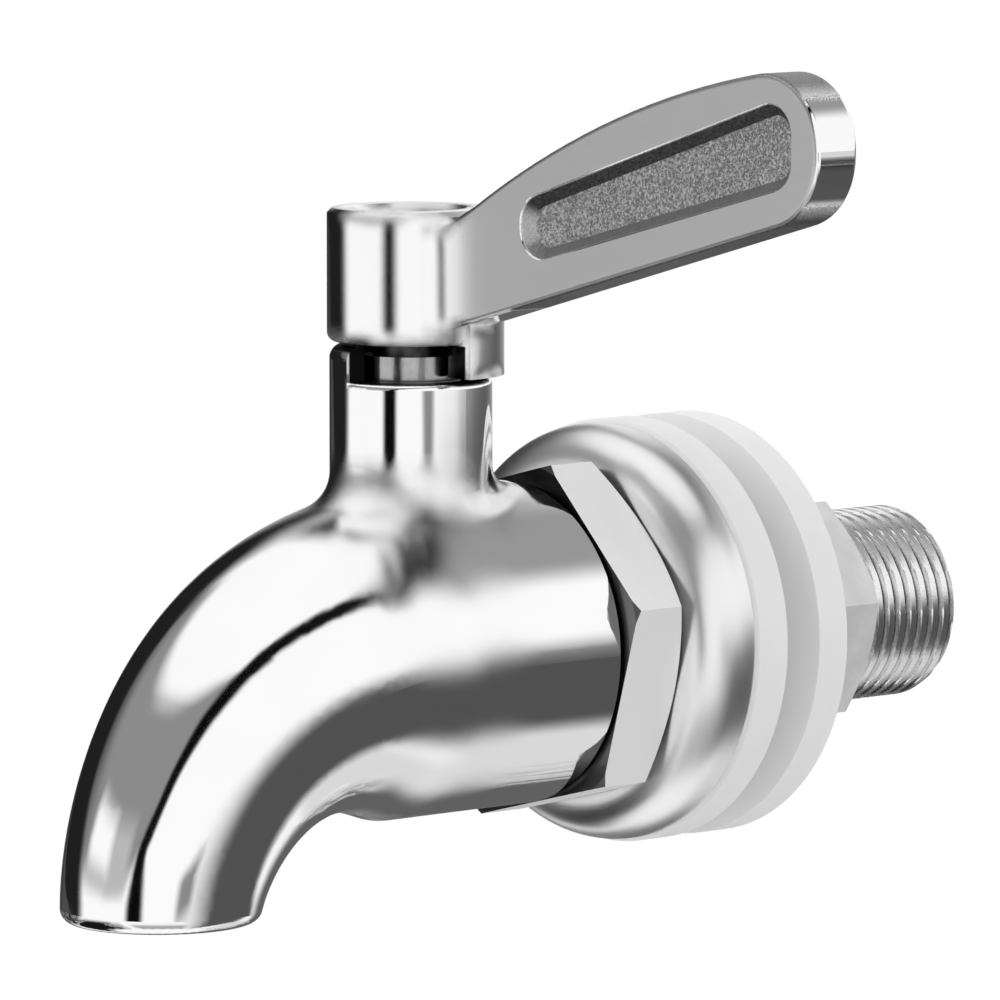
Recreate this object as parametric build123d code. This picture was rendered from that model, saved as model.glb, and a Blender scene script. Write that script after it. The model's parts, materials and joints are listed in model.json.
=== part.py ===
from build123d import *
import math
import os

# Beverage dispenser spigot: a ball valve cast in one piece with its spout, worked by a side lever.
# Millimetres, +Z up. The shank's axis is Y, and the tank is on the +Y side. Y = 0 is the plane where
# the two washers meet, which is where the tank wall is clamped. The spout points along -Y.

# Shank and hexagon, one turned piece screwed into the valve body
thread_d = 16.662
thread_pitch = 1.337
thread_depth = 0.856
thread_start = 1.2
thread_crest = 0.28
thread_root = 0.18
shank_tip_y = 28.8
tip_chamfer = 0.8
waterway_d = 10.0
hex_across_flats = 27.4
hex_length = 6.3
hex_turn = 14.1
hex_front_chamfer = 0.3
hex_chamfer = 1.35
nose_d = 21.2
nose_length = 6.7
nose_end_gap = 0.3

# Parts clamped on the shank
washer_d = 36.2
washer_thickness = 5.5
washer_rim = 3.6
washer_face_d = 24.0
washer_edge = 0.35
washer_clearance = 0.25
escutcheon_inset = 0.3
escutcheon_depth = 4.8
escutcheon_bow = 3.8
escutcheon_shoulder = 4.3
escutcheon_wall = 1.2
nut_across_flats = 18.3
nut_length = 11.95
nut_chamfer = 0.9
nut_turn = 8.1

# Valve body and spout
hex_to_stem = 11.65
barrel_d = 27.4
body_gasket_thickness = 0.3
gasket_cover = 0.67
bend_start = 4.9
mouth_ahead_of_barrel = 9.1
mouth_below_barrel = 6.2
bend_lead_beyond = 2.3
bend_run_out = 6.9
mouth_d = 16.4
mouth_wall = 1.5
mouth_bore_length = 6.0
mouth_round = 1.2
taper_bias = 0.8
bend_sections = 7
barrel_end_round = 0.2

# Neck
neck_d = 13.6
neck_blend = 3.5
notch_floor_z = 23.05
stop_wall_z = 25.95
stop_wall_from = 63.5
stop_wall_to = 266.5
stop_wall_round = 1.2
notch_edge = 0.5

# Ball, seats and stem
ball_d = 16.0
seat_back = 8.4
seat_front = 4.4
seat_bore_d = 10.6
seat_clearance = 0.05
chamber_d = 17.6
ball_slot_width = 2.6
ball_slot_floor_z = 5.9
tang_length = 8.0
slot_clearance = 0.05
stem_d = 6.4
stem_collar_d = 8.8
stem_collar_z = 8.35
stem_collar_thickness = 1.85
thrust_washer_thickness = 1.0
stem_shoulder_z = 27.2
stem_square = 4.4
stem_square_top_z = 30.9
running_clearance = 0.05
o_ring_section = 0.95
o_ring_lower_z = 13.4
o_ring_upper_z = 15.8
groove_width = 1.3
o_ring_seat_gap = 0.03
packing_floor_z = 17.6
packing_thickness = 2.4
gland_d = 9.8
gland_head_d = 8.6
gland_top_z = 25.1
gland_slot_width = 1.2
gland_slot_depth = 0.8
gland_slot_turn = -43.0
thread_clearance = 0.05

# Lever
hub_d = 14.0
hub_bottom_z = 26.15
hub_top_z = 37.3
hub_edge = 0.4
hub_lower_edge = 0.8
hub_socket_d = 9.4
hub_web_thickness = 4.0
hub_skirt_d = 9.8
tab_d = 15.6
tab_bottom_z = 23.4
tab_top_z = 29.0
tab_from = -3.0
tab_to = 62.0
arm_thickness = 4.6
arm_reach = 50.3
arm_root_z = 25.7
arm_bottom_rise = 15.2
arm_tip_width = 11.64
arm_brow_start = (3.1, 0.7)
arm_brow_end = (6.9, 0.7)
arm_brow_bow = 1.68
arm_brow_root_z = 33.0
arm_tip_round = 6.0
arm_blend = 3.0
arm_edge = 0.45
pocket_from_hub = 8.8
pocket_from_tip = 2.9
pocket_low = (3.3, 2.9)
pocket_high = (8.8, 10.4)
pocket_depth = 1.0
pocket_round = 2.5

# Lever screw
screw_d = 3.9
screw_head_d = 7.0
screw_head_height = 2.2
screw_length = 8.0
screw_socket = 2.5
screw_socket_depth = 1.3
lock_washer_d = 7.8
lock_washer_hole = 4.2
lock_washer_thickness = 0.6

# Places along the shank's axis, counted from the wall plane
hex_rear_y = -(washer_thickness + escutcheon_depth)
hex_front_y = hex_rear_y - hex_length
body_end_y = hex_front_y - body_gasket_thickness
stem_y = hex_front_y - hex_to_stem
nose_front_y = hex_front_y - nose_length
waterway_r = waterway_d / 2
ball_r = ball_d / 2
stem_r = stem_d / 2
stem_bore_r = stem_r + running_clearance
chamber_r = chamber_d / 2
gland_bore_r = gland_d / 2 + thread_clearance
collar_top_z = stem_collar_z + stem_collar_thickness
thrust_top_z = collar_top_z + thrust_washer_thickness
gland_floor_z = packing_floor_z + packing_thickness
screw_seat_z = stem_shoulder_z + hub_web_thickness
groove_r = stem_bore_r - o_ring_section - 2 * o_ring_seat_gap
spout_reach = bend_start + barrel_d / 2 + mouth_ahead_of_barrel
spout_drop = barrel_d / 2 + mouth_below_barrel
bend_lead = barrel_d / 2 + bend_lead_beyond
arm_slope = math.tan(math.radians(arm_bottom_rise))
arm_top_z = arm_root_z + arm_reach * arm_slope + arm_tip_width


def ring_profile(points):
    """A closed profile of (distance along Y, radius) pairs, drawn in the YZ plane."""
    return make_face(Polyline(*[(0, y, r) for y, r in points], close=True))


def turned(points):
    """A piece turned about the shank's axis."""
    return revolve(ring_profile(points), Axis.Y)


def tube_y(radius, start, end):
    """A solid cylinder along Y."""
    place = Plane(origin=(0, start, 0), x_dir=(1, 0, 0), z_dir=(0, 1, 0))
    return extrude(place * Circle(radius), end - start)


def stem_place(z=0.0):
    """The plane across the stem's axis at one height."""
    return Plane(origin=(0, stem_y, z), x_dir=(1, 0, 0), z_dir=(0, 0, 1))


def post(radius, low, high):
    """A solid cylinder about the stem's axis."""
    return extrude(stem_place(low) * Circle(radius), high - low)


def collar(outer, inner, low, high):
    """A plain ring about the stem's axis."""
    return post(outer, low, high) - post(inner, low, high)


def sector(radius, start, end, low, high):
    """A slice of a disc about the stem's axis, between two angles from +X."""
    middle = math.radians((start + end) / 2)
    first = math.radians(start)
    last = math.radians(end)
    rim = ThreePointArc(
        (radius * math.cos(first), radius * math.sin(first)),
        (radius * math.cos(middle), radius * math.sin(middle)),
        (radius * math.cos(last), radius * math.sin(last)),
    )
    sides = Polyline(rim @ 1, (0, 0), rim @ 0)
    return extrude(stem_place(low) * make_face(rim + sides), high - low)


def hex_prism(across_flats, turn, start, end, front_chamfer, rear_chamfer):
    """A hexagon along Y whose corners are cut back at either end by a 30 degree cone."""
    corner_r = across_flats / math.sqrt(3)
    place = Plane(origin=(0, start, 0), x_dir=(1, 0, 0), z_dir=(0, 1, 0))
    hexagon = RegularPolygon(corner_r, 6, rotation=-turn)
    prism = extrude(place * hexagon, end - start)
    rear_r = corner_r - rear_chamfer / math.tan(math.radians(30))
    profile = [(end - rear_chamfer, corner_r), (end, rear_r), (end, 0), (start, 0)]
    if front_chamfer > 0:
        front_r = corner_r - front_chamfer / math.tan(math.radians(30))
        profile += [(start, front_r), (start + front_chamfer, corner_r)]
    else:
        profile += [(start, corner_r)]
    return prism & turned(profile)


def spine_point(share):
    """Where the spout's centre line is, and which way it runs, at a share of the bend."""
    start = Vector(0, stem_y - bend_start, 0)
    lead = start + Vector(0, -bend_lead, 0)
    mouth = Vector(0, stem_y - spout_reach, -spout_drop)
    run_out = mouth + Vector(0, 0, bend_run_out)
    back = 1 - share
    place = start * back**3 + lead * (3 * back**2 * share) + run_out * (3 * back * share**2) + mouth * share**3
    heading = (lead - start) * back**2 + (run_out - lead) * (2 * back * share) + (mouth - run_out) * share**2
    return place, heading.normalized()


def bend(start_r, end_r, bias):
    """A bent tapering tube along the spout's centre line."""
    sections = []
    for number in range(bend_sections):
        share = number / (bend_sections - 1)
        place, heading = spine_point(share)
        radius = start_r + (end_r - start_r) * (share + bias * share * (1 - share))
        sections.append(Plane(origin=place, x_dir=(1, 0, 0), z_dir=heading) * Circle(radius))
    return loft(sections)


def outer_arc(solid, height):
    """The edge round the outside of the neck at one height."""
    level = solid.edges().filter_by(GeomType.CIRCLE).filter_by_position(Axis.Z, height - 0.01, height + 0.01)
    return [edge for edge in level if abs(edge.radius - neck_d / 2) < 0.01]


def spout_body():
    """Valve body, neck and spout in one casting."""
    bend_y = stem_y - bend_start
    cast = tube_y(barrel_d / 2, bend_y, body_end_y) + bend(barrel_d / 2, mouth_d / 2, taper_bias)
    cast = cast + post(neck_d / 2, 0, stop_wall_z)
    seam = [
        edge for edge in cast.edges()
        if edge.geom_type == GeomType.BSPLINE and barrel_d / 3 < edge.center().Z < notch_floor_z
    ]
    cast = cast.fillet(neck_blend, seam)
    rear_rim = cast.edges().filter_by(GeomType.CIRCLE).filter_by_position(
        Axis.Y, body_end_y - 0.01, body_end_y + 0.01)
    cast = cast.chamfer(barrel_end_round, None, rear_rim)
    mouth_rim = cast.edges().filter_by_position(Axis.Z, -spout_drop - 0.01, -spout_drop + 0.01)
    cast = cast.fillet(mouth_round, mouth_rim)

    # waterway, seat chamber and the socket for the shank's nose
    mouth, heading = spine_point(1)
    mouth_bore_r = mouth_d / 2 - mouth_wall
    mouth_bore = extrude(Plane(origin=mouth, x_dir=(1, 0, 0), z_dir=heading) * Circle(mouth_bore_r), -mouth_bore_length)
    cast = cast - bend(waterway_r, mouth_bore_r, 0) - mouth_bore
    cast = cast - tube_y(waterway_r, bend_y - seat_back, stem_y)
    cast = cast - tube_y(chamber_r, stem_y - seat_back, stem_y + seat_back)
    cast = cast - tube_y(nose_d / 2 + thread_clearance, nose_front_y - nose_end_gap, body_end_y)

    # stem bore, gland thread and the notch that the lever's tab sweeps through
    cast = cast - post(stem_collar_d / 2 + slot_clearance, 0, thrust_top_z)
    cast = cast - post(stem_bore_r, 0, packing_floor_z)
    cast = cast - post(gland_bore_r, packing_floor_z, stop_wall_z + 1)
    cast = cast - sector(neck_d, stop_wall_to - 360, stop_wall_from, notch_floor_z, stop_wall_z + 1)
    cast = cast.fillet(stop_wall_round, outer_arc(cast, stop_wall_z))
    return cast.fillet(notch_edge, outer_arc(cast, notch_floor_z))


def shank():
    """The shank, with a groove for each turn of its thread."""
    crest_r = thread_d / 2
    root_r = crest_r - thread_depth
    crest = thread_crest * thread_pitch
    root = thread_root * thread_pitch
    flank = (thread_pitch - crest - root) / 2
    profile = [(hex_rear_y, 0), (hex_rear_y, crest_r)]
    turn_y = hex_rear_y + thread_start
    while turn_y + thread_pitch < shank_tip_y - tip_chamfer:
        profile += [(turn_y, crest_r), (turn_y + flank, root_r)]
        profile += [(turn_y + flank + root, root_r), (turn_y + 2 * flank + root, crest_r)]
        turn_y += thread_pitch
    profile += [(shank_tip_y - tip_chamfer, crest_r), (shank_tip_y, crest_r - tip_chamfer), (shank_tip_y, 0)]
    return turned(profile)


def tailpiece():
    """Nose, hexagon and shank, bored through for the water."""
    piece = tube_y(nose_d / 2, nose_front_y, hex_front_y) + shank()
    piece = piece + hex_prism(
        hex_across_flats, hex_turn, hex_front_y, hex_rear_y, hex_front_chamfer, hex_chamfer)
    piece = piece - tube_y(waterway_r, nose_front_y, shank_tip_y)
    return piece - tube_y(chamber_r, nose_front_y, stem_y + seat_back)


def body_gasket():
    """Flat ring between the body's end and the hexagon."""
    hole_r = nose_d / 2 + thread_clearance
    outer_r = hole_r + gasket_cover * (barrel_d / 2 - hole_r)
    return tube_y(outer_r, body_end_y, hex_front_y) - tube_y(hole_r, body_end_y, hex_front_y)


def valve_ball():
    """Bored ball, shut: its bore lies across the waterway and its slot along it."""
    ball = Pos(0, stem_y, 0) * Sphere(ball_r)
    bore_place = Plane(origin=(-ball_r, stem_y, 0), x_dir=(0, 1, 0), z_dir=(1, 0, 0))
    bore = extrude(bore_place * Circle(waterway_r), ball_d)
    slot = extrude(stem_place(ball_slot_floor_z) * Rectangle(ball_slot_width, ball_d), ball_r)
    return ball - bore - slot


def seat(side):
    """Cupped ring that seals against the ball, in front of it (-1) or behind it (+1)."""
    near = stem_y + side * seat_front
    far = stem_y + side * seat_back
    ring = tube_y(chamber_r - seat_clearance, min(near, far), max(near, far))
    ring = ring - tube_y(seat_bore_d / 2, min(near, far), max(near, far))
    return ring - Pos(0, stem_y, 0) * Sphere(ball_r + running_clearance)


def valve_stem():
    """Turned stem: tang in the ball's slot, collar, two ring grooves and a square for the lever."""
    tang_width = ball_slot_width - 2 * slot_clearance
    tang_low = ball_slot_floor_z + slot_clearance
    stem = extrude(stem_place(tang_low) * Rectangle(tang_width, tang_length), stem_collar_z - tang_low)
    stem = stem + post(stem_collar_d / 2, stem_collar_z, collar_top_z)
    stem = stem + post(stem_r, collar_top_z, stem_shoulder_z)
    square = stem_place(stem_shoulder_z) * Rectangle(stem_square, stem_square)
    stem = stem + extrude(square, stem_square_top_z - stem_shoulder_z)
    for height in (o_ring_lower_z, o_ring_upper_z):
        groove = collar(stem_r + 1, groove_r, height - groove_width / 2, height + groove_width / 2)
        stem = stem - groove
    hole_floor_z = screw_seat_z - screw_length - 1
    return stem - post(screw_d / 2 + thread_clearance, hole_floor_z, stem_square_top_z)


def o_ring(height):
    """Round-section ring in one of the stem's grooves."""
    section_r = o_ring_section / 2
    return stem_place(height) * Torus(groove_r + o_ring_seat_gap + section_r, section_r)


def stem_gland():
    """Threaded gland that holds the packing down, slotted across its head."""
    gland = post(gland_d / 2, gland_floor_z, notch_floor_z - slot_clearance)
    gland = gland + post(gland_head_d / 2, gland_floor_z, gland_top_z)
    gland = gland - post(stem_bore_r, gland_floor_z, gland_top_z)
    slot = Rot(0, 0, gland_slot_turn) * Rectangle(gland_slot_width, gland_d)
    return gland - extrude(stem_place(gland_top_z - gland_slot_depth) * slot, gland_slot_depth)


def arm_outline():
    """Side view of the lever's arm, from inside the hub out to its rounded tip."""
    hub_side = (hub_d / 2 + arm_brow_start[0], hub_top_z + arm_brow_start[1])
    tip_side = (arm_reach - arm_brow_end[0], arm_top_z - arm_brow_end[1])
    brow = SagittaArc(hub_side, tip_side, arm_brow_bow)
    rest = Polyline(
        brow @ 1, (arm_reach, arm_top_z), (arm_reach, arm_top_z - arm_tip_width),
        (0, arm_root_z), (0, arm_brow_root_z), brow @ 0,
    )
    face = make_face(brow + rest)
    tip = face.vertices().filter_by_position(Axis.X, arm_reach - 0.01, arm_reach + 0.01)
    return fillet(tip, arm_tip_round)


def pocket_cutter():
    """Sloping-walled recess in the near side of the arm."""
    near_hub = hub_d / 2 + pocket_from_hub
    near_tip = arm_reach - pocket_from_tip
    hub_z = arm_root_z + near_hub * arm_slope
    tip_z = arm_root_z + near_tip * arm_slope
    corners = [
        (near_hub, -hub_z - pocket_low[0]), (near_tip, -tip_z - pocket_low[1]),
        (near_tip, -tip_z - pocket_high[1]), (near_hub, -hub_z - pocket_high[0]),
    ]
    outline = make_face(Polyline(*corners, close=True))
    outline = fillet(outline.vertices(), pocket_round)
    near_side = Plane(origin=(0, stem_y - arm_thickness / 2, 0), x_dir=(1, 0, 0), z_dir=(0, 1, 0))
    return extrude(near_side * outline, pocket_depth, taper=45)


def lever_handle():
    """Hub, stop tab and arm in one casting, with a pocket in each side of the arm."""
    hub_r = hub_d / 2
    plan = Circle(hub_r) + Pos(arm_reach / 2 + 1, 0) * Rectangle(arm_reach + 2, arm_thickness)
    corners = [v for v in plan.vertices() if abs(abs(v.Y) - arm_thickness / 2) < 0.01 and v.X < hub_d]
    plan = fillet(corners, arm_blend)
    upright = extrude(stem_place(hub_bottom_z) * plan, arm_top_z)
    side_view = Plane(origin=(0, stem_y + hub_d, 0), x_dir=(1, 0, 0), z_dir=(0, -1, 0))
    arm = upright & extrude(side_view * arm_outline(), 2 * hub_d)
    outline_edges = [
        edge for edge in arm.edges()
        if edge.center().X > hub_d and abs(abs(edge.center().Y - stem_y) - arm_thickness / 2) < 0.01
    ]
    arm = arm.fillet(arm_edge, outline_edges) - post(hub_r, 0, arm_top_z)
    cutter = pocket_cutter()
    arm = arm - cutter - mirror(cutter, Plane(origin=(0, stem_y, 0), z_dir=(0, 1, 0)))

    hub = post(hub_r, hub_bottom_z, hub_top_z)
    top_rim = hub.edges().filter_by_position(Axis.Z, hub_top_z - 0.01, hub_top_z + 0.01)
    hub = hub.chamfer(hub_edge, None, top_rim)
    lower_rim = hub.edges().filter_by_position(Axis.Z, hub_bottom_z - 0.01, hub_bottom_z + 0.01)
    hub = hub.fillet(hub_lower_edge, lower_rim)
    tab = sector(tab_d / 2, tab_from, tab_to, tab_bottom_z, tab_top_z)
    lever = hub + arm + tab

    # square for the stem, socket above it for the screw and skirt below it over the gland
    lever = lever - post(hub_socket_d / 2, screw_seat_z, arm_top_z)
    lever = lever - post(hub_skirt_d / 2, 0, stem_shoulder_z)
    square = stem_square + 2 * running_clearance
    return lever - extrude(stem_place(stem_shoulder_z) * Rectangle(square, square), hub_web_thickness)


def handle_screw():
    """Cap screw with a hexagon socket that holds the lever on the stem."""
    head_low = screw_seat_z + lock_washer_thickness
    screw = post(screw_head_d / 2, head_low, head_low + screw_head_height)
    screw = screw + post(screw_d / 2, head_low - screw_length, head_low)
    socket = RegularPolygon(screw_socket / math.sqrt(3), 6)
    return screw - extrude(stem_place(head_low + screw_head_height) * socket, -screw_socket_depth)


def escutcheon():
    """Thin domed cover, flat against the hexagon and open towards the tank."""
    shoulder_y = hex_rear_y + escutcheon_shoulder
    rim_y = -washer_thickness
    rim_r = washer_d / 2 - escutcheon_inset
    flat_r = rim_r - escutcheon_bow
    hole_r = thread_d / 2 + washer_clearance

    def shell(front, outer, depth, rise):
        curve = EllipticalCenterArc((shoulder_y, flat_r), depth, rise, 90, arc_size=90)
        back = Polyline((front, flat_r), (front, 0), (rim_y, 0), (rim_y, outer), (shoulder_y, outer))
        return revolve(Plane.YZ * make_face(curve + back), Axis.Y)

    outside = shell(hex_rear_y, rim_r, escutcheon_shoulder, rim_r - flat_r)
    inside = shell(
        hex_rear_y + escutcheon_wall, rim_r - escutcheon_wall,
        escutcheon_shoulder - escutcheon_wall, rim_r - flat_r - escutcheon_wall,
    )
    return outside - inside - tube_y(hole_r, hex_rear_y, rim_y)


def silicone_washer(side):
    """Tapered washer, flat outside; -1 is in front of the tank wall and +1 behind it."""
    hole_r = thread_d / 2 + washer_clearance
    rim_r = washer_d / 2
    back = side * washer_thickness
    step = side * washer_edge
    shoulder = side * (washer_thickness - washer_rim)
    return turned([
        (0, hole_r), (0, washer_face_d / 2), (shoulder, rim_r),
        (back - step, rim_r), (back, rim_r - washer_edge), (back, hole_r),
    ])


def clamp_nut():
    """Hexagon nut behind the rear washer."""
    nut = hex_prism(
        nut_across_flats, nut_turn, washer_thickness, washer_thickness + nut_length, nut_chamfer, nut_chamfer)
    return nut - tube_y(thread_d / 2 + running_clearance, washer_thickness, washer_thickness + nut_length)


def build_parts():
    """Every piece under its own name."""
    return {
        "spout_body": spout_body(),
        "tailpiece": tailpiece(),
        "body_gasket": body_gasket(),
        "valve_ball": valve_ball(),
        "front_seat": seat(-1),
        "rear_seat": seat(1),
        "valve_stem": valve_stem(),
        "stem_thrust_washer": collar(
            stem_collar_d / 2, stem_bore_r, collar_top_z + running_clearance, thrust_top_z),
        "stem_o_ring_lower": o_ring(o_ring_lower_z),
        "stem_o_ring_upper": o_ring(o_ring_upper_z),
        "stem_packing": collar(gland_d / 2, stem_bore_r, packing_floor_z, gland_floor_z),
        "stem_gland": stem_gland(),
        "lever_handle": lever_handle(),
        "handle_lock_washer": collar(
            lock_washer_d / 2, lock_washer_hole / 2, screw_seat_z, screw_seat_z + lock_washer_thickness),
        "handle_screw": handle_screw(),
        "escutcheon": escutcheon(),
        "silicone_washer_front": silicone_washer(-1),
        "silicone_washer_rear": silicone_washer(1),
        "clamp_nut": clamp_nut(),
    }


os.makedirs("parts", exist_ok=True)
for name, solid in build_parts().items():
    export_step(solid, f"parts/{name}.step")
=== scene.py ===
# %% [markdown]
# A beverage dispenser spigot is mostly mirror. Its spout, hub and dome have hardly a colour of
# their own: what the eye reads as steel is the white tent, the dark gaps and the black card of the
# photographer's table, bent round the casting. So this lesson builds the studio with as much care
# as the metal.
#
# The first cell loads the packed parts. They are the fixed frame, in metres: the shank lies along
# Y, the tank would be on the +Y side, the spout points along -Y and the valve stem stands on Z.
# The spigot's own sizes are worked out in millimetres below, as a fitter would read them, and MM
# turns them into metres. The lamps and cards stand so far off that they are placed in metres.

# %% Loading the packed parts
import bpy
import json
import math
from mathutils import Matrix, Vector


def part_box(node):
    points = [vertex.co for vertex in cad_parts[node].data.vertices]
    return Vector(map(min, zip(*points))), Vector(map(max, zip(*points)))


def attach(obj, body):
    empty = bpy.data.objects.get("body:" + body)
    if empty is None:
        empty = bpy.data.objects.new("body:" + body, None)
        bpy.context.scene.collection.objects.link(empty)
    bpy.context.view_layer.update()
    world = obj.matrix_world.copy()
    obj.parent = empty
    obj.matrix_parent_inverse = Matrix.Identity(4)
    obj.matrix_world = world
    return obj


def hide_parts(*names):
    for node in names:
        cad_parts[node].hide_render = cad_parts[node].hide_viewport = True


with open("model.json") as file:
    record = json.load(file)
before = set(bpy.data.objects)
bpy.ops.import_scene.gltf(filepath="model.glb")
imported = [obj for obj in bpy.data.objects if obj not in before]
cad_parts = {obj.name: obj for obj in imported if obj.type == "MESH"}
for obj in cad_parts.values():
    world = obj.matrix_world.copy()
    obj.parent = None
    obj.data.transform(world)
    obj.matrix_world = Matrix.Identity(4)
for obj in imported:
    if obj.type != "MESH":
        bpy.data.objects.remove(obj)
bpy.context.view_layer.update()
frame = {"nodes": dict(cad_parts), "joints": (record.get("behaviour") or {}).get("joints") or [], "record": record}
MM = 0.001


def in_mm(corners):
    """The two corners of a box, in millimetres."""
    return [[round(c / MM, 2) for c in corner] for corner in corners]


# %% [markdown]
# The camera comes first, because a mirror can only be tuned from the place it is looked at from.
# The photograph was taken from in front and to the right, a little above, with a long lens: edges
# that are parallel on the spigot stay nearly parallel in it. The camera's place and its three
# directions were fitted until the edges of the hub, the washers and the nut lay over those of the
# photograph, so no shift and no depth of field are needed.

# %% The camera of the photograph
eye = Vector((552.25, -527.75, 91.06)) * MM
ahead = Vector((-0.73088, 0.67445, -0.10453)).normalized()
roughly_up = Vector((-0.0768, 0.0709, 0.9945))
side = ahead.cross(roughly_up).normalized()
up = side.cross(ahead).normalized()
camera_data = bpy.data.cameras.new("camera")
camera_data.lens = 322.92
camera_data.sensor_width = 36
camera_data.clip_end = 50
camera = bpy.data.objects.new("camera", camera_data)
camera.matrix_world = Matrix.Translation(eye) @ Matrix((side, up, -ahead)).transposed().to_4x4()
bpy.context.scene.collection.objects.link(camera)
bpy.context.scene.camera = camera
bpy.context.scene.view_settings.view_transform = "Standard"
print("camera stands", round(eye.length / MM), "mm away")

# %% [markdown]
# Every finish below is a small sum: so much grain here, a satin face there, a darker root in a
# groove. Such a sum could be wired by hand in the shader editor, but it would be hard to read back.
# A Field wraps one socket of a material instead, and plain arithmetic on it adds the Math nodes, so
# that a mask reads as it would on paper. The bar, a | b, takes the larger of two masks, which is
# where either of them holds.

# %% Shader sums
class Field:
    """One socket of a finish. Arithmetic on it adds Math nodes."""

    def __init__(self, finish, socket):
        self.finish = finish
        self.socket = socket

    def math(self, operation, *others):
        inputs = dict(enumerate((self, *others)))
        return self.finish.node("ShaderNodeMath", {"operation": operation}, inputs)

    def __add__(self, other):
        return self.math("ADD", other)

    __radd__ = __add__

    def __mul__(self, other):
        return self.math("MULTIPLY", other)

    __rmul__ = __mul__

    def __sub__(self, other):
        return self.math("SUBTRACT", other)

    def __rsub__(self, other):
        return (self * -1) + other

    def __or__(self, other):
        return self.math("MAXIMUM", other)

    __ror__ = __or__

    def __abs__(self):
        return self.math("ABSOLUTE")

    def beside(self, other):
        """How far a point is from an axis, given its two distances across the axis."""
        return (self * self + other * other).math("SQRT")

    def above(self, edge, blur):
        """0 below the edge and 1 above it, over a soft band."""
        settings = {"interpolation_type": "SMOOTHSTEP"}
        inputs = {"Value": self, "From Min": edge - blur, "From Max": edge + blur}
        return self.finish.node("ShaderNodeMapRange", settings, inputs)

    def below(self, edge, blur):
        return 1 - self.above(edge, blur)


print("a Field has", [name for name in vars(Field) if not name.startswith("_")])

# %% [markdown]
# A Finish is the material that the Fields belong to. One method makes any node, so the finishes
# further down hold only what is special about each steel, rubber or plastic. Colours and
# directions are not numbers: a Math node would turn a colour grey, so they go through Mix and
# Vector Math. A Mix node has a pair of inputs and an output for each kind of value, told apart only
# by their numbers, and these are written down once here.

# %% Finishes made of nodes
MIX_SOCKETS = {"RGBA": (6, 7, 2), "VECTOR": (4, 5, 1)}
BEVEL_SAMPLES = 6


def grey(tone):
    """An even grey, from 0 for black to 1 for white."""
    return (tone, tone, tone, 1)


class Finish:
    """A material made of nodes, or a world where the kind says so."""

    def __init__(self, name, kind="materials"):
        self.made = getattr(bpy.data, kind).new(name)
        self.made.use_nodes = True
        self.tree = self.made.node_tree
        self.tree.nodes.clear()

    def node(self, kind, settings=None, inputs=None, output=0):
        made = self.tree.nodes.new(kind)
        for key, value in (settings or {}).items():
            setattr(made, key, value)
        for key, value in (inputs or {}).items():
            if isinstance(value, Field):
                self.tree.links.new(value.socket, made.inputs[key])
            else:
                made.inputs[key].default_value = value
        return Field(self, made.outputs[output]) if made.outputs else made

    def place(self, scale=(1, 1, 1)):
        """Where a point is on its own piece, in millimetres times a scale."""
        spot = self.node("ShaderNodeTexCoord", output="Object")
        inputs = {0: spot, 1: [stretch / MM for stretch in scale]}
        return self.node("ShaderNodeVectorMath", {"operation": "MULTIPLY"}, inputs)

    def facing(self):
        """Which way the surface of the piece faces there."""
        return self.node("ShaderNodeTexCoord", output="Normal")

    def parts(self, vector):
        """A direction or place as its three numbers."""
        split = self.node("ShaderNodeSeparateXYZ", None, {0: vector}).socket.node
        return [Field(self, socket) for socket in split.outputs]

    def noise(self, size, detail=2.0, rough=0.5, scale=(1, 1, 1)):
        """Cloudy values from 0 to 1, with lumps of about this size in millimetres."""
        inputs = {"Vector": self.place(scale), "Scale": 1 / size, "Detail": detail, "Roughness": rough}
        return self.node("ShaderNodeTexNoise", None, inputs)

    def mix(self, share, first, second, kind="RGBA"):
        """One colour or direction turning into another as share goes from 0 to 1."""
        first_input, second_input, output = MIX_SOCKETS[kind]
        inputs = {0: share, first_input: first, second_input: second}
        return self.node("ShaderNodeMix", {"data_type": kind}, inputs, output)

    def blended(self, where, width):
        """Facing directions that run together across an edge, over a width in millimetres."""
        plain = self.node("ShaderNodeNewGeometry", output="Normal")
        soft = self.node("ShaderNodeBevel", {"samples": BEVEL_SAMPLES}, {"Radius": width * MM})
        return self.mix(where, plain, soft, "VECTOR")

    def bump(self, height, strength, depth, blended=None):
        """The surface lifted by a height, whose full range is this deep in millimetres."""
        inputs = {"Height": height, "Strength": strength, "Distance": depth * MM}
        if blended:
            inputs["Normal"] = blended
        return self.node("ShaderNodeBump", None, inputs)

    def surface(self, **sockets):
        """Principled sockets, with _ for a space in their names."""
        inputs = {key.replace("_", " "): value for key, value in sockets.items()}
        return self.show(self.node("ShaderNodeBsdfPrincipled", None, inputs))

    def show(self, shader, output="ShaderNodeOutputMaterial"):
        self.node(output, None, {"Surface": shader})
        return self.made


def tell(*finishes):
    for finish in finishes:
        print("finish", finish.name, "of", len(finish.node_tree.nodes), "nodes")


print("a Finish has", [name for name in vars(Finish) if not name.startswith("_")])

# %% [markdown]
# The cast and polished pieces share one finish: stainless steel buffed to a mirror. It could be a
# plain metal shader with no roughness, but a buffed casting is never optically flat. It keeps a
# slow swell from the wheel, a few millimetres across and a few microns high, which makes the
# reflected edges wander, and a haze of hairlines that opens up the highlights a little.
#
# The wheel also runs the edges together. Where the straight barrel meets the bend, and at the side
# of the neck's foot, a hard change of curve would snap the black line in two. There the facing
# directions are blended over a few millimetres. Nowhere else, because the same blend would blur
# that line where it should be thin. Two places stay dull and are darkened in the colour: round the
# neck's foot a patchy dark tone is partly polishing paste and partly painted shade in the corner,
# and the step inside the neck's mouth is painted near black as painted shade in the recess.

# %% Mirror-polished steel
def steel_grey(tone):
    """A grey with the trace of blue that stainless steel has."""
    return (tone, tone, tone * 1.005, 1)


# Near black, used as painted shade in the recesses round the stem.
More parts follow.
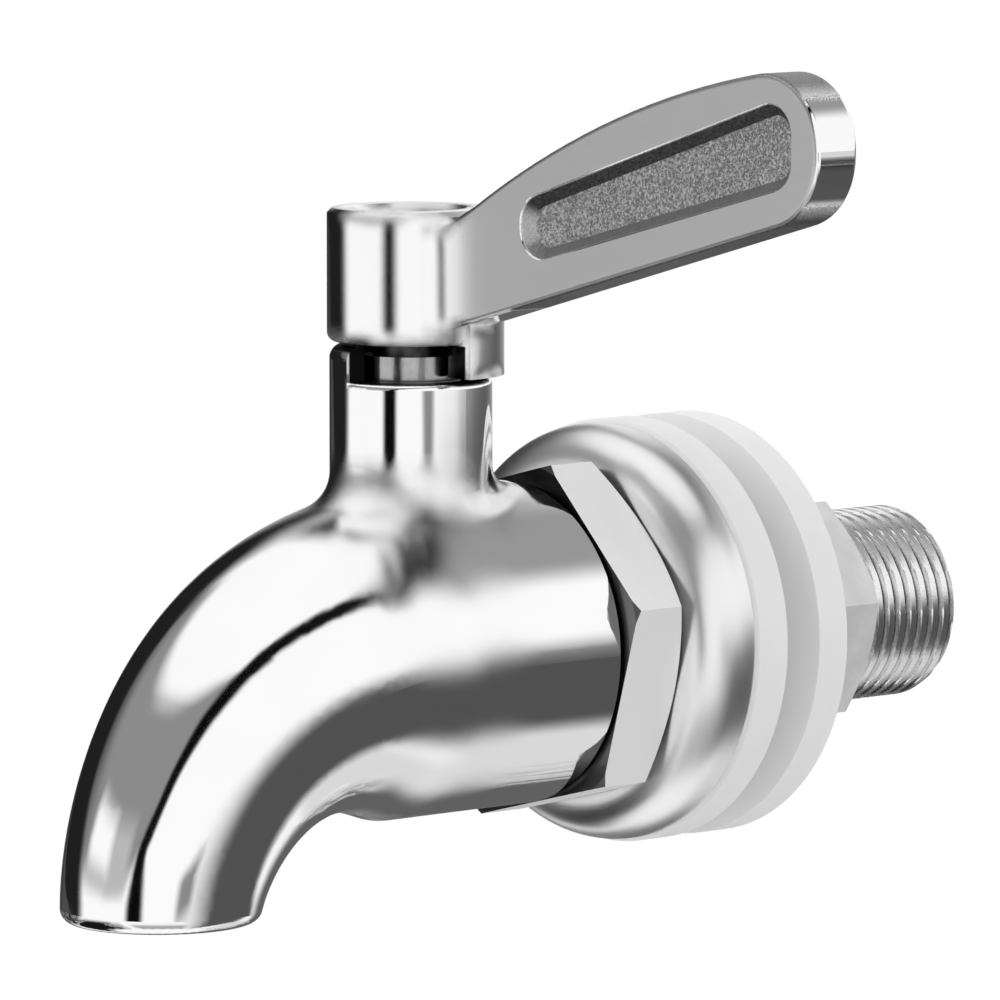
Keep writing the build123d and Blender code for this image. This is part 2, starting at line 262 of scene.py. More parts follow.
painted_shade_black = steel_grey(0.012)
stem_y = next(joint for joint in frame["joints"] if joint["name"] == "lever_turn")["pos_m"][1] / MM
bend_y = stem_y - 4.9
bend_half_seam = 6.0
shoulder_r = 16.5
shoulder_low_z = 3.0
shoulder_high_z = 13.0
neck_foot_r = 10.5
neck_foot_low_z = 10.5
neck_foot_high_z = 16.0
neck_mouth_r = 6.55
notch_floor_z = 23.0


def polished_steel():
    steel = Finish("polished_steel_mirror")
    across, along, height = steel.parts(steel.place())
    from_stem = across.beside(along - stem_y)
    under_neck = height.below(neck_foot_high_z, 2.0)
    neck_foot = from_stem.below(neck_foot_r, 3.0) * height.above(neck_foot_low_z, 2.5) * under_neck
    # The step inside the neck's mouth: painted shade, near black.
    painted_recess_shade = height.above(notch_floor_z, 0.04) * from_stem.below(neck_mouth_r, 0.1)
    seam = abs(along - bend_y).below(bend_half_seam, 3.0) * under_neck
    shoulder = height.above(shoulder_low_z, 2.0) * height.below(shoulder_high_z, 1.5)
    foot_side = shoulder * from_stem.below(shoulder_r, 2.5) * along.below(stem_y + 1.0, 2.0)
    swell = steel.noise(5.0, detail=1.0)
    hairs = steel.noise(0.9, detail=4.0, scale=(1, 6, 1))
    shade = steel.noise(9.0, detail=3.0)
    clean = steel.mix(shade, steel_grey(0.93), steel_grey(0.98))
    # Round the neck's foot the colour darkens in patches: partly polishing paste, partly painted shade in the
    # corner.
    paste_and_painted_shade = neck_foot * (0.04 + shade.above(0.5, 0.12) * 0.3)
    tint = steel.mix(paste_and_painted_shade, clean, steel_grey(0.16))
    relief = swell + hairs * 0.02 + neck_foot * hairs * 0.1
    return steel.surface(
        Base_Color=steel.mix(painted_recess_shade, tint, painted_shade_black), Metallic=1.0,
        Roughness=0.05 + hairs * 0.03 + neck_foot * 0.1 + painted_recess_shade * 0.4,
        Normal=steel.bump(relief, 0.35, 0.03, steel.blended(seam | foot_side, 5.0)),
    )


mirror = polished_steel()
print("stem at y", round(stem_y, 3), "mm, bend begins at y", round(bend_y, 3), "mm")
tell(mirror)

# %% [markdown]
# The domed cover is thin sheet, spun over a form and brushed with a fine compound while it still
# turned. It has the castings' colour but not their depth: reflections close to it stay clear, and
# the far ones melt into broad gradients. So it gets more roughness, and its faint lines run round
# its axis: they are a noise of one number only, the distance from the axis.

# %% Spun steel
def spun_steel():
    steel = Finish("polished_steel_spun")
    across, _, height = steel.parts(steel.place())
    inputs = {"W": across.beside(height), "Scale": 4.0, "Detail": 3.0}
    rings = steel.node("ShaderNodeTexNoise", {"noise_dimensions": "1D"}, inputs)
    tint = steel.mix(steel.noise(7.0, detail=2.0), steel_grey(0.90), steel_grey(0.95))
    rough = 0.29 + rings * 0.06
    return steel.surface(Base_Color=tint, Metallic=1.0, Roughness=rough, Normal=steel.bump(rings, 0.1, 0.01))


spun = spun_steel()
tell(spun)

# %% [markdown]
# The lever is one casting with three finishes. The hub and the thin edges were buffed like the
# spout. The two broad sides of the arm were only drawn over a belt, which leaves them satin, grey
# and softly streaked along the arm. The pocket was out of the belt's reach: its floor keeps the
# grain of the sand mould. Its walls are painted near black as painted shade, with a painted
# highlight on the end that faces the tip and lighter paint on the faces turned up.
#
# The three could be three materials on separate faces, but then each border would be a hard line.
# Here they are told apart by where a point lies on the lever and which way it faces, so the
# borders are soft and the finish turns with the lever. The hub's skirt, down in the neck's mouth,
# is painted near black as painted shade, and the root of the arm is blended into the hub as the
# spout's seam is.

# %% Satin and sand-cast lever steel
arm_root_x = 8.4
pocket_floor_depth = 1.6
arm_face_depth = 2.18
pocket_start_x = 14.6
pocket_end_x = 48.6
pocket_low_z = 29.0
skirt_top_z = 26.1
skirt_r = 7.15


def lever_steel():
    steel = Finish("lever_steel_satin_and_cast")
    along, across, height = steel.parts(steel.place())
    facing_tip, facing_side, facing_up = steel.parts(steel.facing())
    sideways = abs(facing_side)
    from_middle = abs(across - stem_y)
    from_stem = along.beside(from_middle)
    flat_side = sideways.above(0.8, 0.18) * along.above(arm_root_x, 2.6)
    at_floor = from_middle.below(pocket_floor_depth, 0.25) * sideways.above(0.97, 0.02)
    pocket_floor = at_floor * along.above(pocket_start_x + 0.9, 0.2)
    under_face = from_middle.below(arm_face_depth, 0.06) * height.above(pocket_low_z, 0.5)
    pocket = under_face * along.above(pocket_start_x, 0.4) * along.below(pocket_end_x, 0.4)
    cast = pocket | pocket_floor
    satin = flat_side * (1 - cast)
    belt = steel.noise(0.5, detail=5.0, rough=0.6, scale=(0.12, 1, 1))
    sand = steel.noise(0.26, detail=1.0)
    grains = steel.noise(0.13, detail=1.0, rough=0.8)
    pits = (sand * 0.5 + grains * 0.5).above(0.5, 0.16)
    # The pocket's walls: a painted highlight on the end facing the tip, lighter paint on faces turned up, and near
    # black elsewhere as painted shade. The floor's tone is the sand grain.
    painted_wall_light = facing_tip.above(0.65, 0.2) + facing_up.above(0.25, 0.2) * 0.3
    tone = pocket_floor * (0.26 + pits * 0.66) + (1 - pocket_floor) * (painted_wall_light + pits * 0.12)
    outside = steel.mix(satin, steel_grey(0.94), steel_grey(0.62))
    inside = steel.mix(tone, steel_grey(0.05), steel_grey(0.93))
    # The hub's skirt in the neck's mouth is painted near black as painted shade.
    skirt_shade = height.below(skirt_top_z, 0.03) * from_stem.below(skirt_r, 0.1)
    swell = steel.noise(5.0, detail=1.0)
    relief = swell * 0.3 * (1 - flat_side) + satin * belt * 0.1 + cast * pits * 1.2
    return steel.surface(
        Base_Color=steel.mix(skirt_shade, steel.mix(cast, outside, inside), painted_shade_black), Metallic=1.0,
        Roughness=0.06 + satin * (0.3 + belt * 0.08) + cast * (0.34 + sand * 0.2),
        Normal=steel.bump(relief, 0.8, 0.06, steel.blended(along.below(arm_root_x + 0.6, 2.0), 1.8)),
    )


satin_lever = lever_steel()
print("pocket", round(pocket_end_x - pocket_start_x, 1), "mm long")
tell(satin_lever)

# %% [markdown]
# The nut, the screw, the gland and the stem were turned or milled and never polished. A tool leaves
# fine parallel lines and a light tarnish, so these pieces are duller than the castings. One
# function serves them all, with its own direction of lines and its own tone for each: the nut is
# the palest. The gland down in the neck's notch has a darker tone as painted shade, and the stem in
# the dark gap under the hub is painted nearly black as painted shade.

# %% Machined steel
def machined_steel(name, line_scale, rough, metal, tone):
    steel = Finish(name)
    lines = steel.noise(0.25, detail=3.0, rough=0.6, scale=line_scale)
    stain = steel.noise(3.5, detail=4.0, rough=0.6)
    tint = steel.mix(stain.above(0.52, 0.2), grey(tone - 0.05), grey(tone + 0.05))
    return steel.surface(
        Base_Color=tint, Metallic=metal, Roughness=rough + stain * 0.12,
        Normal=steel.bump(lines, 0.4, 0.02),
    )


lines_along_shank = (1, 0.2, 1)
lines_along_stem = (1, 1, 0.2)
nut_steel = machined_steel("machined_steel_nut", lines_along_shank, 0.26, 0.35, 0.75)
turned_steel = machined_steel("machined_steel_turned", lines_along_stem, 0.2, 1.0, 0.75)
# The gland's and the stem's tones are painted shade for the notch and the gap under the hub.
gland_steel_painted_shade = machined_steel("machined_steel_gland", lines_along_stem, 0.1, 1.0, 0.42)
stem_steel_painted_shade = machined_steel("machined_steel_stem", lines_along_stem, 0.3, 1.0, 0.055)
tell(nut_steel, turned_steel, gland_steel_painted_shade, stem_steel_painted_shade)

# %% [markdown]
# The two washers are silicone rubber moulded between matt plates. It is milky: light goes in a
# little way and comes back out, which fills its shadows. The face is not glossy, and close up it
# has a fine even grain. A white plastic with no depth would look like paper beside the steel, so
# a quarter of the light goes under the skin.

# %% Milky silicone
def silicone():
    rubber = Finish("silicone_milky")
    grain = rubber.noise(0.18, detail=3.0, rough=0.7)
    tint = rubber.mix(rubber.noise(6.0), grey(0.76), grey(0.80))
    return rubber.surface(
        Base_Color=tint, Roughness=0.5 + grain * 0.1, Subsurface_Weight=0.25,
        Subsurface_Radius=(1.0, 1.0, 1.0), Subsurface_Scale=1.2 * MM,
        Normal=rubber.bump(grain, 0.35, 0.05),
    )


milky = silicone()
tell(milky)

# %% [markdown]
# Two more soft finishes sit inside the valve and are seen only when it is taken apart: the waxy
# white plastic of the ball's seats and the packing, and the black rubber of the rings and the
# gasket. Each is one noise that serves as both the tone and the skin.

# %% Seat plastic and black rubber
def soft_skin(name, size, detail, dark, light, rough, strength):
    soft = Finish(name)
    skin = soft.noise(size, detail=detail)
    tint = soft.mix(skin, dark, light)
    return soft.surface(Base_Color=tint, Roughness=rough, Normal=soft.bump(skin, strength, 0.03))


white_plastic = soft_skin("ptfe_white", 0.6, 3.0, (0.86, 0.86, 0.83, 1), (0.92, 0.92, 0.90, 1), 0.42, 0.2)
black_rubber = soft_skin("black_rubber_ring", 0.3, 4.0, grey(0.018), grey(0.035), 0.55, 0.3)
tell(white_plastic, black_rubber)

# %% [markdown]
# Each part of the frame takes its finish here. Their shapes come from the drawing and are left as
# they are: only the material in their slot changes.

# %% Finishing the carried-over parts
parts_in = {
    mirror: ["spout_body", "valve_ball"],
    spun: ["escutcheon"],
    satin_lever: ["lever_handle"],
    nut_steel: ["clamp_nut"],
    stem_steel_painted_shade: ["valve_stem"],
    gland_steel_painted_shade: ["stem_gland"],
    turned_steel: ["handle_screw", "handle_lock_washer"],
    milky: ["silicone_washer_front", "silicone_washer_rear"],
    white_plastic: ["front_seat", "rear_seat", "stem_thrust_washer", "stem_packing"],
    black_rubber: ["body_gasket", "stem_o_ring_lower", "stem_o_ring_upper"],
}
for finish, nodes in parts_in.items():
    for node in nodes:
        mesh = frame["nodes"][node].data
        mesh.materials.clear()
        mesh.materials.append(finish)
    print(finish.name, "on", nodes)

# %% [markdown]
# The tailpiece is turned from one hexagon bar: a nose that screws into the valve body, a band of
# the hexagon left standing for the wrench, and the long threaded shank. It is the one part that is
# made anew here, because the drawing has plain grooves where the real shank has a thread. Most of
# its sizes are already in the frame: in the boxes of its neighbours, in two of the mounts, and in
# the nut's motion, because the nut moves by one pitch for each turn.

# %% The tailpiece's sizes
mounts = {mount["name"]: mount["dims"] for mount in frame["record"]["mounts"]}
nut_travel = frame["record"]["behaviour"]["couplings"][0]["ratio"]
around = 96
bore_r = mounts["inlet_bore"]["r_mm"]
thread_r = mounts["shank_thread"]["r_mm"]
pitch = round(nut_travel * math.tau / MM, 3)
nose_r = 10.6
seat_pocket_r = 8.8
hex_half = 27.4 / 2
hex_turn = math.radians(14.1)
nose_y, tip_y = [corner[1] for corner in in_mm(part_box("tailpiece"))]
hex_rear_y = in_mm(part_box("escutcheon"))[0][1]
hex_front_y = in_mm(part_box("body_gasket"))[1][1]
pocket_y = tip_y - mounts["inlet_bore"]["length_mm"]
thread_start = hex_rear_y + 1.2
print("tailpiece from", nose_y, "to", tip_y, "mm, hexagon from", hex_front_y, "to", hex_rear_y, "mm")
print("thread", round(2 * thread_r, 3), "mm wide with a pitch of", pitch, "mm")

# %% [markdown]
# The whole piece is a stack of rings of points along the shank, closed into a tube. A ring is round
# where its radius is a number, and any other outline where its radius is a function of the angle.
# A screw modifier would make the thread too, but its ends need a repair by hand, and the hexagon
# would be a second mesh pushed into the first.

# %% Rings of points
def ring(y, radius):
    """One closed ring. The radius may be a function of the angle, and y one of the radius."""
    points = []
    for step in range(around):
        angle = math.tau * step / around + hex_turn
        r = radius(angle) if callable(radius) else radius
        where = y(r) if callable(y) else y
        points.append(Vector((r * math.cos(angle), where, r * math.sin(angle))) * MM)
    return points


def grid_faces(rows, columns, closed):
    """Corner numbers of a grid's quads. A closed grid joins its ends in both directions."""
    open_end = 0 if closed else 1
    faces = []
    for row in range(rows - open_end):
        here = row * columns
        after = (row + 1) % rows * columns
        for column in range(columns - open_end):
            beside = (column + 1) % columns
            faces.append((here + column, here + beside, after + beside, after + column))
    return faces


def mesh_piece(name, points, faces, material):
    """A new object of one material, made from points and faces."""
    mesh = bpy.data.meshes.new(name)
    mesh.from_pydata(points, [], faces)
    mesh.materials.append(material)
    piece = bpy.data.objects.new(name, mesh)
    bpy.context.scene.collection.objects.link(piece)
    return piece


print("a ring has", around, "points, one every", round(thread_r * math.tau / around, 2), "mm on the shank")

# %% [markdown]
# A thread is what a step away is seen of the shank, so it is cut for real. At each place along the
# shank the profile is a wave in the number of turns so far, with flat crests, straight flanks and
# narrow flat roots. The angle shifts the wave, and that shift is all that turns closed grooves
# into a helix. The thread runs in over its first turn and ends in a chamfer at the tip.

# %% The thread's profile
thread_depth = 0.64 * pitch
root_share = 0.12
flank_share = 0.34
tip_chamfer = 0.8


def thread_radius(y):
    """The shank's radius at one place along it, as a function of the angle."""
    run_in = min(1, max(0, (y - thread_start) / pitch))
    tip_limit = thread_r - max(0, y - (tip_y - tip_chamfer))

    def radius(angle):
        turn = y / pitch - (math.pi / 2 - angle) / math.tau
        from_root = abs(2 * (turn % 1) - 1)
        lift = min(1, max(0, (from_root - root_share) / flank_share))
        return min(tip_limit, thread_r - thread_depth * (1 - lift) * run_in)

    return radius


print("thread", round(thread_depth, 2), "mm deep")

# %% [markdown]
# A wrench hexagon is chamfered on the lathe by a cone, and the cone leaves curved scallops where it
# meets the six flats. A bevel along the edges would leave straight ones. Here the ring follows the
# flats all round, and each of its points slides along the shank to where the cone is at that
# distance from the axis. The side at the dome has the deep chamfer, the side at the valve only a
# trace.

# %% The hexagon and its cones
rear_chamfer = 1.35
front_chamfer = 0.3
slope = math.tan(math.radians(30))
corner_r = hex_half / math.cos(math.radians(30))
rear_cone_r = corner_r - rear_chamfer / slope
front_cone_r = corner_r - front_chamfer / slope


def flats(angle):
    """Distance from the axis to the flat at one angle, from +X towards +Z."""
    from_flat = (angle - hex_turn) % math.radians(60) - math.radians(30)
    return hex_half / math.cos(from_flat)


def flats_in_front_cone(angle):
    return min(flats(angle), front_cone_r)


def on_rear_cone(radius):
    return hex_rear_y - (radius - rear_cone_r) * slope


def on_front_cone(radius):
    return hex_front_y + max(0, radius - front_cone_r) * slope


print("hexagon", 2 * hex_half, "mm over its flats and", round(2 * corner_r, 1), "mm over its corners")

# %% [markdown]
# A thread cut on a lathe is bright on its crests, where the bar's skin was, and dull in its roots,
# which are painted darker as painted shade in the grooves. The hexagon is drawn bar that was lightly
# buffed, the sawn end of the shank is duller, and the hexagon's face in the narrow gap at the valve
# is painted nearly black as painted shade, a little less at the corner on the lever's side as
# painted light from the barrel. One material holds all of these, told apart by the distance from
# the axis and the way a point faces.

# %% Thread and hexagon finish
root_r = thread_r - 0.45
sawn_end_r = 7.1
painted_lit_corner_x = 9.0


def tailpiece_steel():
    steel = Finish("machined_steel_tailpiece")
    across, along, height = steel.parts(steel.place())
    out = across.beside(height)
    endways = abs(steel.parts(steel.facing())[1])
    shank = along.above(hex_rear_y + 0.6, 0.1)
    hexagon = out.above(nose_r + 0.3, 0.2) * (1 - shank)
    flat = hexagon * endways.below(0.6, 0.1)
    end_face = hexagon * endways.above(0.8, 0.1)
    sawn = shank * endways.above(0.97, 0.02)
    # Thread roots: painted darker as painted shade in the grooves.
    painted_root_shade = shank * out.below(root_r, 0.2) * out.above(sawn_end_r, 0.2) * endways.below(0.97, 0.02)
    lines = steel.noise(0.2, detail=3.0)
    stain = steel.noise(2.5, detail=3.0)
    specks = steel.noise(0.16, rough=0.7).above(0.5, 0.15)
    # The hexagon's face in the gap is painted nearly black as painted shade, a little less past the lit corner.
    painted_gap_shade = end_face * (1 - across.above(painted_lit_corner_x, 3.0) * 0.16)
    # dark gathers the painted shade of the roots and the gap with the real specks on the shank.
    dark = ((painted_root_shade + shank * specks * 0.12) | painted_gap_shade).math("MINIMUM", 1.0)
    return steel.surface(
        Base_Color=steel.mix(dark, steel_grey(0.93), steel_grey(0.02)),
        Metallic=1 - flat * 0.7 - sawn * 0.5,
        Roughness=0.08 + flat * 0.3 + shank * 0.12 + (painted_root_shade + end_face + sawn) * 0.2 + stain * 0.04,
        Normal=steel.bump(lines * (0.1 + shank * 0.3), 0.4, 0.03),
    )


thread_and_hexagon = tailpiece_steel()
tell(thread_and_hexagon)

# %% [markdown]
# Now the rings are stacked, from the floor of the seat's pocket out over the nose and the hexagon,
# along the thread and back in to the bore at the tip. The last ring joins the first, and that
# closing step is the bore itself. The piece rides on the valve and stands for the drawing's
# tailpiece, which stays in the motion model.

# %% The threaded tailpiece
rows_per_turn = 14
sharp_angle = math.radians(28)
thread_length = tip_y - thread_start
thread_rows = int(thread_length / (pitch / rows_per_turn))
rings = [
    ring(pocket_y, bore_r), ring(pocket_y, seat_pocket_r), ring(nose_y, seat_pocket_r), ring(nose_y, nose_r),
    ring(hex_front_y, nose_r), ring(hex_front_y, flats_in_front_cone),
    ring(on_front_cone, flats), ring(on_rear_cone, flats),
    ring(hex_rear_y, rear_cone_r), ring(hex_rear_y, thread_r), ring(thread_start, thread_r),
]
for row in range(1, thread_rows + 1):
    place = thread_start + row * thread_length / thread_rows
    rings.append(ring(place, thread_radius(place)))
rings.append(ring(tip_y, bore_r))

all_points = [point for one_ring in rings for point in one_ring]
all_faces = grid_faces(len(rings), around, closed=True)
tailpiece = mesh_piece("tailpiece_threaded", all_points, all_faces, thread_and_hexagon)
tailpiece.data.polygons.foreach_set("use_smooth", [True] * len(all_faces))
tailpiece.data.set_sharp_from_angle(angle=sharp_angle)
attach(tailpiece, "valve")
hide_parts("tailpiece")
print(tailpiece.name, len(rings), "rings,", len(all_faces) * 2, "triangles")

# %% [markdown]
# The studio starts with a pale floor and a white surround. A mirror shows the room and nothing
# else, so both are white where the camera or a reflection sees them, and only mildly bright as a
# light on the spigot. Brighter lamps would whiten the background too, but they would bleach the
# washers with it. The floor keeps the spigot's soft shadow near by and fades to clean white
# farther off.

# %% Floor and white surround
floor_z = -400.0
floor_reach = 12000.0
shadow_reach = 1200.0
floor_light = 0.7
room_light = 0.62


def seen_directly(finish):
    """1 for what the camera sees, also by way of metal or glass."""
    paths = finish.node("ShaderNodeLightPath").socket.node
    names = ("Is Camera Ray", "Is Glossy Ray", "Is Transmission Ray")
    camera_ray, glossy_ray, transmission_ray = [Field(finish, paths.outputs[name]) for name in names]
    return camera_ray | glossy_ray | transmission_ray


def pale_floor():
    paint = Finish("floor_pale")
    across, along, _ = paint.parts(paint.place())
    far_off = across.beside(along).above(shadow_reach, 500.0)
    share = seen_directly(paint) * (floor_light + far_off * (1 - floor_light))
    matt = paint.node("ShaderNodeBsdfDiffuse", None, {"Color": grey(0.9)})
    white = paint.node("ShaderNodeEmission", None, {"Color": grey(1.0), "Strength": 1.0})
    return paint.show(paint.node("ShaderNodeMixShader", None, {0: share, 1: matt, 2: white}))


quarters = ((-1, -1), (1, -1), (1, 1), (-1, 1))
corners = [Vector((x * floor_reach, y * floor_reach, floor_z)) * MM for x, y in quarters]
floor = mesh_piece("floor", corners, [(0, 1, 2, 3)], pale_floor())

sky = Finish("surround", "worlds")
sky_light = room_light + seen_directly(sky) * (1 - room_light)
backdrop = sky.node("ShaderNodeBackground", None, {"Color": grey(1.0), "Strength": sky_light})
bpy.context.scene.world = sky.show(backdrop, "ShaderNodeOutputWorld")
print("floor at", floor_z, "mm")

# %% [markdown]
# Two large soft lamps, one at each side of the camera, give the washers and the satin arm their
# light and shade. A sun or a point lamp would throw hard shadows, which the photograph doesn't
# have. The lamps are hidden from reflections, because the mirror would show them as two squares.

# %% Soft lamps
lamp_size = 0.9


def direction(azimuth, elevation):
    """Unit vector for an azimuth from +X towards +Y and a height above the horizon, in degrees."""
    flat = math.cos(math.radians(elevation))
    return Vector((
        flat * math.cos(math.radians(azimuth)), flat * math.sin(math.radians(azimuth)),
        math.sin(math.radians(elevation)),
    ))


def soft_lamp(name, azimuth, elevation, distance, power):
    """A square lamp that faces the spigot from one direction, at a distance in metres."""
    data = bpy.data.lights.new(name, "AREA")
    data.size = lamp_size
    data.energy = power
    lamp = bpy.data.objects.new(name, data)
    toward = direction(azimuth, elevation)
    lamp.location = toward * distance
    lamp.rotation_euler = toward.to_track_quat("Z", "Y").to_euler()
    lamp.visible_glossy = False
    bpy.context.scene.collection.objects.link(lamp)
    return lamp


lamps = [soft_lamp("lamp_left", -120, 40, 1.3, 9.0), soft_lamp("lamp_right", 10, 45, 1.4, 7.0)]
print("lamps", [lamp.name for lamp in lamps])

# %% [markdown]
# A product photographer hangs cards in the white tent, because a mirror with nothing to reflect
# looks like paper. Each card here is a sheet of a big sphere round the spigot, between two edges
# given in degrees of azimuth and height, as they would be read off a globe. Flat panels would do
# the same, but a curved mirror stretches them, and on a sphere it is plain which part of the steel
# sees which card. The edges are smooth curves through a few stops, and no card hangs below the
# floor.

# %% Sheets on a sphere round the spigot
card_rows = 12
floor_gap = 20.0


def smooth_route(stops, count):
    """A smooth curve of count steps that passes through each stop, a tuple of numbers."""
    route = []
    for number in range(count + 1):
        spot = number / count * (len(stops) - 1)
        first = min(int(spot), len(stops) - 2)
        share = spot - first
        before = stops[max(first - 1, 0)]
        after = stops[min(first + 2, len(stops) - 1)]
        near = (before, stops[first], stops[first + 1], after)
        weights = (
            (-share + 2 * share**2 - share**3) / 2, (2 - 5 * share**2 + 3 * share**3) / 2,
            (share + 4 * share**2 - 3 * share**3) / 2, (share**3 - share**2) / 2,
        )
        route.append([sum(w * stop[axis] for w, stop in zip(weights, near)) for axis in range(len(near[0]))])
    return route


def on_sphere(toward, radius):
    """A point in one direction, moved in where the sphere would dip below the floor."""
    if toward.z < 0:
        radius = min(radius, (floor_z + floor_gap) * MM / toward.z)
    return toward * radius


print("lowest a card may hang:", floor_z + floor_gap, "mm")

# %% [markdown]
# A card has one flat tone and fades out towards its edges, because the real ones stand out of
# focus and half lit. Cards are seen only in reflections: they throw no shadow and take no light, so
# the washers and the background stay as the lamps leave them. Their own map of how far along and
# across a point lies carries the fade.

# %% One card
def card_paint(name, tone, soft_along, soft_across):
    """A flat tone that fades out towards the edges of its sheet."""
    paint = Finish(name)
    along, across, _ = paint.parts(paint.node("ShaderNodeUVMap"))
    inside = (1 - abs(along * 2 - 1)).above(soft_along, soft_along)
    between = (1 - abs(across * 2 - 1)).above(soft_across, soft_across)
    clear = paint.node("ShaderNodeBsdfTransparent")
    flat = paint.node("ShaderNodeEmission", None, {"Color": grey(tone), "Strength": 1.0})
    return paint.show(paint.node("ShaderNodeMixShader", None, {0: inside * between, 1: clear, 2: flat}))


def card(name, low_edge, high_edge, tone, soft, radius):
    """A sheet between two edges of directions, soft along and across, on a radius in metres."""
    columns = len(low_edge)
    points = []
    spots = []
    for row in range(card_rows + 1):
        share = row / card_rows
        for column in range(columns):
            toward = low_edge[column].lerp(high_edge[column], share).normalized()
            points.append(on_sphere(toward, radius))
            spots.append((column / (columns - 1), share))
    faces = grid_faces(card_rows + 1, columns, closed=False)
    sheet = mesh_piece(name, points, faces, card_paint(name, tone, *soft))
    sheet.location = Vector((0, stem_y, 0)) * MM
    layer = sheet.data.uv_layers.new(name="card")
    for loop in sheet.data.loops:
        layer.data[loop.index].uv = spots[loop.vertex_index]
    for kind in ("camera", "diffuse", "shadow", "transmission", "volume_scatter"):
        setattr(sheet, "visible_" + kind, False)
    return sheet


print("a card fades over its edges and has", card_rows, "rows")

# %% [markdown]
# There are two ways to say where a card hangs. A wall has a lower and an upper edge, and suits
# broad grey areas. A band has a middle line and a half width at each stop, and suits the thin
# black arch. Both end up as two edges, so one function makes the sheet.

# %% Walls and bands
wall_columns = 36
band_columns = 120


def wall(name, low_stops, high_stops, tone, soft, radius=3.0):
    """A card between two smooth lines of (azimuth, height) stops."""
    low_edge = [direction(*stop) for stop in smooth_route(low_stops, wall_columns)]
    high_edge = [direction(*stop) for stop in smooth_route(high_stops, wall_columns)]
    return card(name, low_edge, high_edge, tone, soft, radius)


def band(name, stops, tone, soft, radius):
    """A card along a smooth line of (azimuth, height, half width) stops."""
    route = smooth_route(stops, band_columns)
    low_edge = []
    high_edge = []
    for number, (azimuth, elevation, half) in enumerate(route):
        before = direction(*route[max(number - 1, 0)][:2])
        after = direction(*route[min(number + 1, len(route) - 1)][:2])
        middle = direction(azimuth, elevation)
        sideways = middle.cross(after - before).normalized() * math.tan(math.radians(half))
        low_edge.append((middle - sideways).normalized())
        high_edge.append((middle + sideways).normalized())
    return card(name, low_edge, high_edge, tone, soft, radius)


print("a wall has", wall_columns, "columns and a band", band_columns)

# %% [markdown]
# The black arch starts low at the left of the camera, climbs over the spigot and comes down behind
# it. It draws the thin dark line down the spout, and its stops were moved until that line lay where
# the photograph has it.

# %% The black arch
arch = band("card_black_arch", [
    (-72, -12, 12), (-72, -8, 13), (-71.5, 0, 12), (-71, 11, 6.5), (-64, 20, 5.6), (-58, 30.5, 6.2),
    (-50, 40.5, 8), (-37.5, 48.5, 8), (-23.5, 53, 7.5), (-9, 54.5, 7.2), (4.7, 53.9, 7.2),
    (17.5, 52.8, 7.2), (28, 53.5, 7), (40, 57.5, 6), (55, 62.5, 5.2), (75, 66.5, 4.8), (95, 67.5, 4.8),
    (115, 66, 4.8), (132, 62, 5), (143, 54, 6), (150, 42, 7),
], 0.003, (0.02, 0.3), 2.6)
print(arch.name, len(arch.data.polygons), "faces")

# %% [markdown]
# On the left a grey wall with a white and a pale sheet in front of it tones the spout's outer bend.
# It fades round to dusk behind the spigot, where a dark gap rims the edges of the neck and the
# lever, and a few low cards shade the underside.

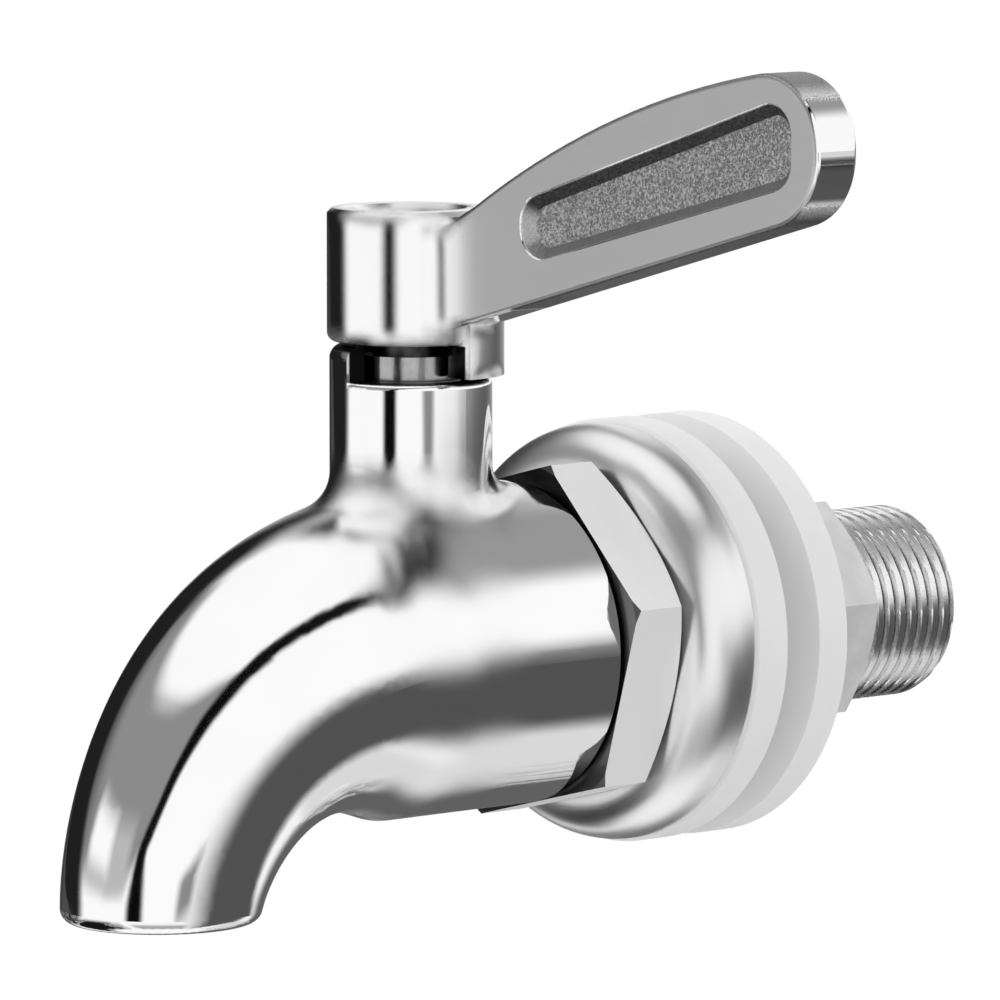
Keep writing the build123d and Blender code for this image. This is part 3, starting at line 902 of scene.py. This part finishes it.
# %% Cards on the left and behind
cards_left = [
    wall("card_grey_left",
         [(-192, -3), (-160, -3), (-132, -3), (-105, -3), (-84, 0), (-69, 12), (-59, 26), (-50, 38)],
         [(-192, 48), (-162, 49), (-135, 50), (-110, 53), (-88, 55), (-68, 56), (-54, 55), (-42, 53)],
         0.27, (0.05, 0.2)),
    wall("card_pale_left", [(-116, -4), (-82, -4)], [(-116, 24), (-80, 24)], 0.5, (0.3, 0.35), 2.95),
    wall("card_white_left", [(-146, 1), (-104, 1)], [(-142, 24), (-104, 24)], 1.0, (0.3, 0.4), 2.9),
    wall("card_dusk_left", [(150, -34), (170, -36), (190, -36), (222, -28)],
         [(150, 52), (170, 44), (190, 38), (220, 24)], 0.07, (0.35, 0.3), 2.85),
    wall("card_dark_gap", [(136, -32), (136, -18), (136, -6), (136, 6), (136, 18), (136, 30), (138, 50)],
         [(206, -32), (216, -18), (224, -6), (214, 6), (199, 16), (186, 28), (172, 44)],
         0.014, (0.2, 0.22), 2.8),
    wall("card_dark_low_left", [(-196, -64), (-92, -68)], [(-196, -12), (-98, -20)],
         0.008, (0.16, 0.2), 2.75),
    wall("card_grey_low_left", [(-116, -62), (-86, -62)], [(-116, -20), (-86, -20)], 0.36, (0.4, 0.3), 2.7),
]
print("cards", [sheet.name for sheet in cards_left])

# %% [markdown]
# On the right a low grey card gives the barrel its dark band. It is the one card that hangs close
# by, two hand widths away instead of three metres. Seen from near, a card lies in a different
# direction for the spout's mouth than for the barrel, and that is what bends the band down along
# the spout. Pale sheets below it keep the spout's underside light, and a dusky one above draws the
# shade on top of the barrel.

# %% Cards on the right and above
near_radius = 0.2
cards_right = [
    wall("card_low_right",
         [(-30, -78), (0, -72), (20, -64), (35, -56), (48, -49),
          (60, -42.5), (68, -38), (76, -32), (88, -27), (122, -28)],
         [(-28, 4), (0, 4), (20, 5), (35, 8), (48, 9), (60, 9), (68, 8), (76, 6), (88, 4), (122, 2)],
         0.085, (0.17, 0.26), near_radius),
    wall("card_dark_far_right", [(34, -24), (62, -24)], [(34, -5), (62, -5)], 0.008, (0.12, 0.2)),
    wall("card_low_back", [(86, -68), (134, -68), (160, -66)], [(86, -1), (134, -1), (160, -1)],
         0.12, (0.24, 0.2), 2.8),
    wall("card_pale_floor", [(44, -72), (112, -68)], [(44, -33), (112, -30)], 0.72, (0.2, 0.1), 2.95),
    wall("card_pale_low", [(-84, -70), (4, -72)], [(-84, -24), (-8, -28)], 0.42, (0.2, 0.3), 2.9),
    wall("card_wall_back", [(22, 38), (44, 30), (60, 31), (90, 33), (142, 20)],
         [(22, 66), (44, 70), (70, 73), (100, 73), (150, 66)], 0.32, (0.2, 0.25), 2.7),
    wall("card_dusk_top", [(44, 48), (80, 50), (135, 46)], [(44, 68), (80, 70), (138, 66)],
         0.05, (0.4, 0.45), 2.65),
    wall("card_neck_edge", [(26, -12), (150, -12)], [(26, 0), (150, 8)], 0.12, (0.5, 0.2), 2.7),
    wall("card_grey_slit", [(-29, -11), (-6, -11)], [(-29, 0), (-6, 0)], 0.26, (0.4, 0.3), 2.7),
]
print("cards", [sheet.name for sheet in cards_right])

# %% [markdown]
